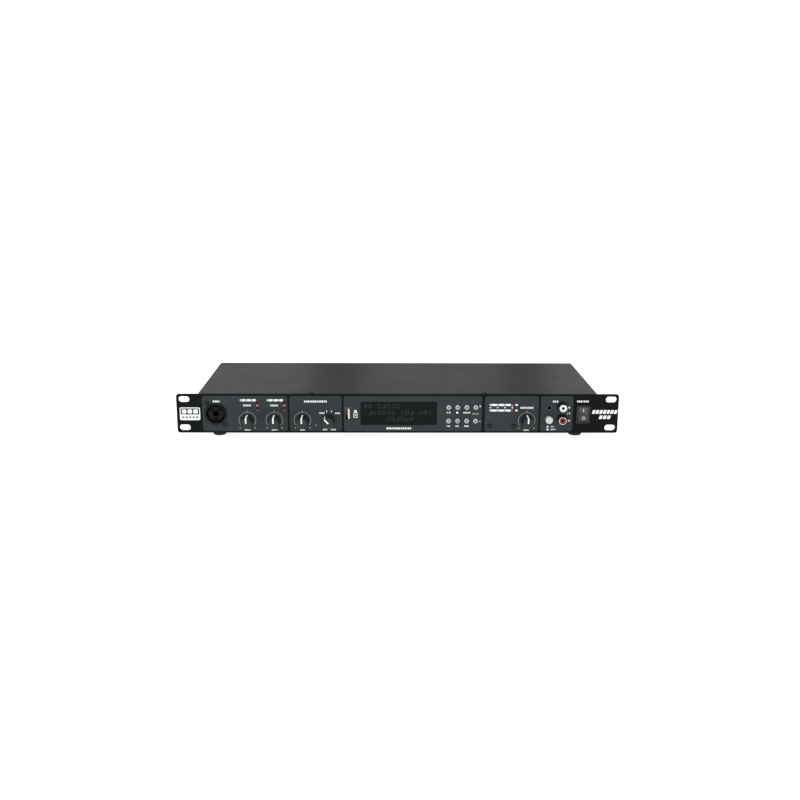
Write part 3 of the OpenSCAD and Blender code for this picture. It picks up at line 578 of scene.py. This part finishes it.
def end_marks(x, h, low_word):
    """A minus and a plus at the ends of a ring, and a blank word under the knob."""
    end_x, end_h = 8.1, h - 8.6
    length, line = 1.3, 0.4
    made = [rounded(x - end_x, end_h, length, line), rounded(x + end_x, end_h, length, line)]
    made.append(rounded(x + end_x, end_h, line, length))
    return made + blank_word(x, h - 11.0, low_word, 1.5)


def row_bars(lights, height, last_bar):
    """White bars in the gaps of one row of lights, and one of its own width after the last."""
    clear, corner_r = 0.25, 0.4
    made = []
    for left, right in zip(lights, lights[1:]):
        gap = right[0] - left[0] - left[2]
        made.append(rounded((left[0] + right[0]) / 2, left[1], gap - 2 * clear, height, corner_r))
    x, h, width, _ = lights[-1]
    made.append(rounded(x + width / 2 + clear + last_bar / 2, h, last_bar, height, corner_r))
    return made


def microphone_prints():
    """The socket's word, and each channel's scale, word and level row."""
    socket_x, socket_h, _, _ = solids("combo_cores")[0]
    made = blank_word(socket_x + 1.0, socket_h + 14.0, 8, 2.0)
    for name in MICROPHONES:
        x, h = spot(name + "_shaft")
        made += end_marks(x, h, 6.5)
        made += blank_word(x, h + 16.7, 8.6, 1.9)
        made += row_bars(near(greens, x - 12, x + 12, 30), 2.5, 3.3)
    return made


def stereo_prints():
    """The stereo channel's scale, and the two ticks and four words round the source selector."""
    x, h = spot("stereo_shaft")
    made = end_marks(x, h, 5.5)
    selector_x, selector_h = spot("selector_shaft")
    made += blank_word((x + selector_x) / 2, h + 21.2, 25, 2.1)
    made.append(rounded(selector_x - 2.3, selector_h + 10.2, 0.7, 2.4, turn=-16))
    made.append(rounded(selector_x + 2.9, selector_h + 10.2, 0.7, 2.4, turn=16))
    for dx, dh, width in ((-7.4, 8.2, 6), (9.6, 8.0, 5.5), (-4.3, -10.6, 4.6), (4.9, -10.6, 5.6)):
        made += blank_word(selector_x + dx, selector_h + dh, width, 1.7)
    return made


def below(key):
    """The (x, h) of the sign under one of the player's keys."""
    x, h = spot("button_" + key)
    return x, h - 6.1


def player_prints():
    """A stick pictogram beside the data socket, the display's word, and the signs by the keys."""
    x, h = spot("usb_shell")
    stick_x, stick_h = x + 8.6, h - 1.2
    made = frame_lines(stick_x, stick_h, 3.6, 5.4, 0.6)
    made += [rounded(stick_x, stick_h + 4.3, 2.4, 2.2, 0.2), disc(stick_x, stick_h, 0.8)]
    x, h = spot("display_window")
    made += blank_word(x + 0.2, h - 16.9, 27.5, 2.2)
    bar, size, arrow, skip_size = 0.5, 2.1, 1.5, 1.9
    x, h = below("play")
    made.append(triangle(x - 0.9, h, 1.8, size))
    made += [rounded(x + 0.7, h, bar, size), rounded(x + 1.6, h, bar, size)]
    x, h = below("stop")
    made.append(rounded(x - 0.4, h, size, 2.0, 0.2))
    made += blank_word(*below("repeat"), 7.6, 1.6)
    x, h = below("previous")
    made.append(rounded(x - 1.5, h, bar, skip_size))
    made += [triangle(x + dx, h, -arrow, skip_size) for dx in (-0.4, 1.0)]
    x, h = below("next")
    made += [triangle(x + dx, h, arrow, skip_size) for dx in (-1.2, 0.2)]
    made.append(rounded(x + 1.3, h, bar, skip_size))
    made += blank_word(*below("folder"), 5, 1.6)
    x, h = spot("button_mode")
    plus_x, plus_h = x + 4.8, h + 1.1
    made.append(rounded(plus_x, plus_h, 1.9, 0.6))
    made += [rounded(plus_x, plus_h + side * 0.65, 0.6, 0.7) for side in (1, -1)]
    x, h = spot("button_menu")
    made.append(rounded(x + 4.8, h - 0.7, 1.6, 0.6))
    return made


def meter_prints():
    """The meter's bars and marks, and the monitor control's scale and word."""
    meter_x, meter_end = 95, 130
    made = []
    for row_h in sorted({round(light[1], 1) for light in near(greens, meter_x, meter_end)}):
        row = sorted(near(greens + reds, meter_x, meter_end, row_h - 1, row_h + 1))
        made += row_bars(row[:-1], 2.3, 5.0)
        made.append(rounded(row[-1][0] + 4.6, row_h, 2.4, 1.9, 0.3))
    lower, upper = near(greens, meter_x, meter_x + 10)
    middle_h = (lower[1] + upper[1]) / 2
    for light in near(greens + reds, meter_x, meter_end, lower[1] - 1, lower[1] + 1):
        made.append(rounded(light[0], middle_h, 1.5, 1.2, 0.2))
    x, h = spot("monitor_shaft")
    made += end_marks(x, h, 6)
    made += blank_word(x, h + 14.3, 15, 2.1)
    return made


def aux_prints():
    """Words and marks of the auxiliary section."""
    push_x, push_h = spot("source_button")
    white_x, white_h = solids("phono_inserts_white")[-1][:2]
    red_x, red_h = solids("phono_inserts_red")[-1][:2]
    made = blank_word((push_x + white_x) / 2 - 0.5, white_h + 5.9, 6.4, 2.0)
    for dh, width in ((-7.9, 3.6), (-11.1, 5.6)):
        h = push_h + dh
        made.append([(push_x - 2.7, h - 0.9), (push_x + 0.7, h - 0.9), (push_x - 1.0, h + 1.2)])
        made += blank_word(push_x + 2.2 + width / 2, h - 0.1, width, 1.2)
    made.append(rounded(white_x + 7.8, white_h - 0.9, 1.5, 1.7, 0.3))
    made.append(rounded(red_x + 8.2, red_h - 1.7, 1.8, 1.7, 0.3))
    made.append(rounded(white_x + 8.5, white_h - 7.3, 0.7, 2.6, turn=-40))
    made.append(disc(white_x + 6.2, white_h - 7.8, 0.6))
    return made


def column_masks():
    """The black windows between the red lights of each microphone channel."""
    made = []
    for name in MICROPHONES:
        x = spot(name + "_shaft")[0]
        column = sorted(near(reds, x, x + 15), key=lambda light: light[1])
        for low, high in zip(column, column[1:]):
            gap = high[1] - low[1] - low[3]
            made.append(rounded(low[0], (low[1] + high[1]) / 2, 2.7, gap - 0.1, 0.5))
    return made


rings = [mark for name in LEVELS for mark in ring(name)]
mode_x, mode_h = spot("button_mode")
mode_word = blank_word(mode_x, mode_h - 7.5, 7.8, 1.5)
overlay_prints = [
    ("print_rings", rings, ring_ink),
    ("print_microphones", microphone_prints(), white_ink),
    ("print_stereo", stereo_prints(), white_ink),
    ("print_player", player_prints(), white_ink),
    ("print_player_mode", mode_word, dim_ink),
    ("print_meter", meter_prints(), white_ink),
    ("print_aux", aux_prints(), white_ink),
    ("light_windows", column_masks(), black_ink),
]
for name, marks, colour in overlay_prints:
    prints(name, marks, OVERLAY_FACE, INK, colour)
power_x, power_h = spot("power_switch_frame")
power_word = blank_word(power_x - 0.8, power_h + 14.2, 13, 2.1)
prints("print_power", power_word, PANEL_FACE, INK, white_ink)


def slanted_row(x, h, width, height, count):
    """A row of leaning blocks, plain stand-ins for a printed name."""
    step = width / count
    middles = [x - width / 2 + step * (place + 0.5) for place in range(count)]
    return [rounded(middle, h, step * 0.74, height, 0.35, height * 0.3) for middle in middles]


def badge():
    """A plate on the left ear: a white rim round three plain blocks, over a strip of five."""
    x, h, width, height = -226.5, 21.5, 22.0, 14.2
    thick = 0.5
    top_h = h + 2.7
    prints("badge_plate", [rounded(x, h, width, height, 1.6)], PANEL_FACE, thick, badge_white)
    prints("badge_inset", [rounded(x, top_h, width - 2.0, 6.8, 1.0)], PANEL_FACE - thick, INK, black_ink)
    blocks = [rounded(x + dx, top_h, 4.9, 4.6, 1.1) for dx in (-6.2, 0, 6.2)]
    prints("badge_blocks", blocks, PANEL_FACE - thick - INK, INK, badge_white)
    marks = [rounded(x + dx, h - 3.9, 2.6, 2.4, 0.5) for dx in (-7.4, -3.7, 0, 3.7, 7.4)]
    prints("badge_strip", marks, PANEL_FACE - thick, INK, grey_ink)


badge()
name_x = 226
upper_row = slanted_row(name_x, 23.9, 28, 4.2, 7)
lower_row = slanted_row(name_x + 0.4, 17.9, 13.4, 3.9, 3)
prints("name_stripes", upper_row + lower_row, PANEL_FACE, INK, white_ink)


# ---- display ----

CELL = 5.0  # from one character to the next
DOT = 0.72  # from one dot to the next
signs = [
    lambda c, r: c in (0, 4) or r in (0, 6),
    lambda c, r: abs(c - 2) + abs(r - 3) * 0.67 < 2.2,
    lambda c, r: r <= c * 1.5,
    lambda c, r: c % 2 == 0,
    lambda c, r: r < 5 and (c + r) % 2 == 0,
    lambda c, r: abs(r - 3) == c or abs(r - 3) + 1 == c,
]


def display_line(start_x, h, order):
    """One line of dot-matrix cells, each filled with a plain sign by its number; None leaves a blank."""
    made = []
    for place, sign in enumerate(order):
        if sign is None:
            continue
        for column in range(5):
            for row in range(7):
                if signs[sign](column, row):
                    x = start_x + place * CELL + column * DOT
                    made.append(rounded(x, h + (row - 3) * DOT, DOT * 0.86, DOT * 0.86))
    return made


window_x, window_h = spot("display_window")
window_face = corners("display_window")[0].y
lines = display_line(window_x - 37.5, window_h + 8.2, [1, 3, None, 0, 2, 0, 5, 0])
lines += display_line(window_x - 32.5, window_h + 0.9, [2, 4, 3, 0, 1, 3, None, 5, 0, 2, None, 4, 3, 5])
lines += display_line(window_x - 12.5, window_h - 6.4, [5, 3, 2, 0, 4, 1])
prints("display_characters", lines, window_face, FILM, character_green)


# ---- knob pointers, rocker marks and contacts ----

def radius_near(node, y_from, y_to):
    """The greatest distance from its axis that a turned node reaches between two depths."""
    x, h = spot(node)
    reach = [
        math.hypot(v.co.x / MM - x, v.co.z / MM - EDGE_Z - h)
        for v in frame["nodes"][node].data.vertices
        if y_from <= v.co.y / MM <= y_to
    ]
    return max(reach)


def pointer(name, turn):
    """The white inlay of one knob: along the groove in its side, then across its face to the middle."""
    knob = name + "_knob"
    x, h = spot(knob)
    low, high = corners(knob)
    proud, half_w, buried = 0.06, 0.7, 0.33
    face_r = radius_near(knob, low.y + 0.4, low.y + 0.6)
    base_r = radius_near(knob, high.y - 2.1, high.y - 1.9)
    front_y, inner_y, skirt_y = low.y - proud, low.y + 0.28, high.y - 0.5
    profile = [
        (0.0, front_y), (face_r - 0.5, front_y), (face_r + proud, front_y + 0.5),
        (base_r + proud, high.y - 2.0), (base_r + proud, skirt_y), (face_r - buried, skirt_y),
        (face_r - buried, inner_y), (0.0, inner_y),
    ]
    out = Vector((math.sin(math.radians(turn)), 0, math.cos(math.radians(turn))))
    across = Vector((math.cos(math.radians(turn)), 0, -math.sin(math.radians(turn))))
    middle = Vector((x, 0, h + EDGE_Z))
    sides = [
        [middle + out * r + Vector((0, y, 0)) + across * half_w * side for r, y in profile]
        for side in (1, -1)
    ]
    bm = bmesh.new()
    add_prism(bm, *sides)
    piece(name + "_pointer", bm, pointer_white, name + "_control")


for name in LEVELS:
    pointer(name, 0)
selector_rest = -45
pointer("selector", selector_rest)


def rocker_marks():
    """A bar on the upper face and a ring on the lower face of the power rocker, as it lies at rest."""
    joint = [j for j in frame["joints"] if j["child"] == "rocker"][0]
    pivot = Vector(joint["pos_m"]) / MM
    rest, flare = -12, 12  # degrees that the rocker leans, and that each face leans from the valley
    valley_depth = 1.2
    bm = bmesh.new()

    def mark(outline, side):
        tilt = Matrix.Rotation(math.radians(rest + side * flare), 3, "X")
        valley = Matrix.Rotation(math.radians(rest), 3, "X") @ Vector((0, -valley_depth, 0))
        front_ring = [pivot + valley + tilt @ Vector((x, -0.05, t)) for x, t in outline]
        back_ring = [pivot + valley + tilt @ Vector((x, 0.02, t)) for x, t in outline]
        add_prism(bm, front_ring, back_ring)

    mark(rounded(0, 4.3, 0.9, 3.6), 1)
    for start in (0, 180):
        mark(arc(0, -4.4, 1.5, 0.7, start, start + 180), -1)
    piece("rocker_marks", bm, mark_ink, "rocker")


rocker_marks()


def key_dimple_shades():
    """Painted shade: a darker disc on the middle of each of the eight player keys, standing in for the
    shade in their dished middles.
    """
    for name in KEYS:
        button = "button_" + name
        dimple_shade_disc = [disc(*spot(button), 1.15)]
        face_y = corners(button)[0].y
        prints(button + "_dimple_shade", dimple_shade_disc, face_y, FILM, key_grey, "key_" + name)


def phono_linings():
    """The dark contact sleeve just inside the bore of each front phono socket."""
    radius, wall = 1.6, 0.08
    bm = bmesh.new()
    for node in ("phono_inserts_white", "phono_inserts_red"):
        x, h = solids(node)[-1][:2]
        face_y = corners(node)[0].y
        front_y, back_y = face_y + 0.3, face_y + 7.0
        for start in (0, 180):
            ring_points = arc(x, h, radius, wall, start, start + 180)
            front_ring = [Vector((px, front_y, ph + EDGE_Z)) for px, ph in ring_points]
            back_ring = [Vector((px, back_y, ph + EDGE_Z)) for px, ph in ring_points]
            add_prism(bm, front_ring, back_ring)
    piece("phono_linings", bm, dark_nickel, "chassis")


key_dimple_shades()
phono_linings()


def data_contacts():
    """Four gilt strips on the open side of the data socket's tongue."""
    low, high = corners("usb_tongue")
    middle = (low.z + high.z) / 2
    front_y, back_y, half_w = low.y + 0.6, low.y + 8.5, 0.5
    outline = [(front_y, -half_w), (back_y, -half_w), (back_y, half_w), (front_y, half_w)]
    bm = bmesh.new()
    for place in (-3.5, -1.25, 1.25, 3.5):
        open_side = [Vector((low.x - 0.06, y, middle + place + dz)) for y, dz in outline]
        buried_side = [Vector((low.x + 0.02, y, middle + place + dz)) for y, dz in outline]
        add_prism(bm, open_side, buried_side)
    piece("data_contacts", bm, gold_contact, "chassis")


data_contacts()


# ---- rear wall ----

def rear_prints():
    """Frames and blank words round the sockets of the rear wall."""
    made = []
    line, round_frame = 0.5, 29
    for x, h, _, _ in [solids("combo_cores")[-1]] + solids("line_sockets"):
        made += frame_lines(x, h, round_frame, round_frame, line)
        made += blank_word(x, h - 16.3, 9, 1.4)
    white_x = solids("phono_inserts_white")[0][0]
    red_x = solids("phono_inserts_red")[0][0]
    made += frame_lines((white_x + red_x) / 2, 20.0, 40, 22, line)
    made += blank_word((white_x + red_x) / 2, 33.4, 16, 1.8)
    return made


prints("print_rear", rear_prints(), REAR_FACE, INK, white_ink, side=1)
plate_x, plate_h, plate_thick = 132, 20, 0.15
plate = rounded(plate_x, plate_h, 38, 20, 1.5)
prints("rating_plate", [plate], REAR_FACE, plate_thick, badge_white, side=1)
plate_rows = []
for row in range(4):
    plate_rows += blank_word(plate_x, plate_h + 5 - 3.4 * row, 30 - 5 * row, 1.3)
prints("rating_plate_rows", plate_rows, REAR_FACE + plate_thick, FILM, grey_ink, side=1)


# ---- stage, lights and camera ----

def floor():
    """A plain pale floor, wide enough to run out of every view."""
    half = 4000
    outline = [(-half, -half), (half, -half), (half, half), (-half, half)]
    bm = bmesh.new()
    bm.faces.new([bm.verts.new((x * MM, y * MM, cad_low.z)) for x, y in outline])
    mesh = bpy.data.meshes.new("floor")
    bm.to_mesh(mesh)
    bm.free()
    look = Look("floor_white", (0.45, 0.45, 0.45), 0.9, Specular_IOR_Level=0.1)
    look.set("Emission Color", (1, 1, 1, 1))
    look.set("Emission Strength", 0.92)
    mesh.materials.append(look.material)
    made = bpy.data.objects.new("floor", mesh)
    bpy.context.scene.collection.objects.link(made)


def surroundings(seen, diffuse, gloss):
    """A white room: bright to the camera, plain for soft light, and dimmer in reflections."""
    world = bpy.data.worlds.new("studio")
    bpy.context.scene.world = world
    world.use_nodes = True
    tree = world.node_tree
    tree.nodes.clear()
    path = tree.nodes.new("ShaderNodeLightPath")
    out = tree.nodes.new("ShaderNodeOutputWorld")

    def glow(strength):
        node = tree.nodes.new("ShaderNodeBackground")
        node.inputs["Color"].default_value = (1, 1, 1, 1)
        node.inputs["Strength"].default_value = strength
        return node.outputs["Background"]

    def choose(factor, first, second):
        node = tree.nodes.new("ShaderNodeMixShader")
        tree.links.new(factor, node.inputs["Fac"])
        tree.links.new(first, node.inputs[1])
        tree.links.new(second, node.inputs[2])
        return node.outputs["Shader"]

    indirect = choose(path.outputs["Is Glossy Ray"], glow(diffuse), glow(gloss))
    tree.links.new(choose(path.outputs["Is Camera Ray"], indirect, glow(seen)), out.inputs["Surface"])


def softbox(name, place, aim, width, height, power):
    """A rectangular soft light at a place, turned to face another."""
    light = bpy.data.lights.new(name, "AREA")
    light.shape = "RECTANGLE"
    light.size = width * MM
    light.size_y = height * MM
    light.energy = power
    made = bpy.data.objects.new(name, light)
    made.location = Vector(place) * MM
    made.rotation_euler = (Vector(aim) - Vector(place)).to_track_quat("-Z", "Y").to_euler()
    made.visible_camera = False
    bpy.context.scene.collection.objects.link(made)


def camera(place, yaw, pitch, roll, focal):
    """A camera at a place; it looks along +Y, turned right by yaw and down by pitch."""
    data = bpy.data.cameras.new("camera")
    data.lens = focal
    data.sensor_width = 36
    made = bpy.data.objects.new("camera", data)
    turn = Matrix.Rotation(math.radians(-yaw), 4, "Z")
    tilt = Matrix.Rotation(math.radians(90 - pitch), 4, "X")
    bank = Matrix.Rotation(math.radians(roll), 4, "Z")
    made.matrix_world = Matrix.Translation(Vector(place) * MM) @ turn @ tilt @ bank
    bpy.context.scene.collection.objects.link(made)
    bpy.context.scene.camera = made


floor()
surroundings(seen=1.0, diffuse=0.85, gloss=0.09)
softbox("key", (-500, -900, 1500), aim=(0, 60, 0), width=1200, height=900, power=16)
softbox("back_left", (-400, 1500, 400), aim=(-120, 80, 0), width=400, height=700, power=0.23)
softbox("back_middle", (110, 1500, 400), aim=(30, 80, 0), width=380, height=700, power=0.17)
softbox("back_right", (555, 1500, 400), aim=(160, 80, 0), width=300, height=700, power=0.18)
camera((-15.7, -1047.2, 281.9), yaw=0.96, pitch=14.31, roll=0.30, focal=44.61)
bpy.context.scene.view_settings.view_transform = "Standard"
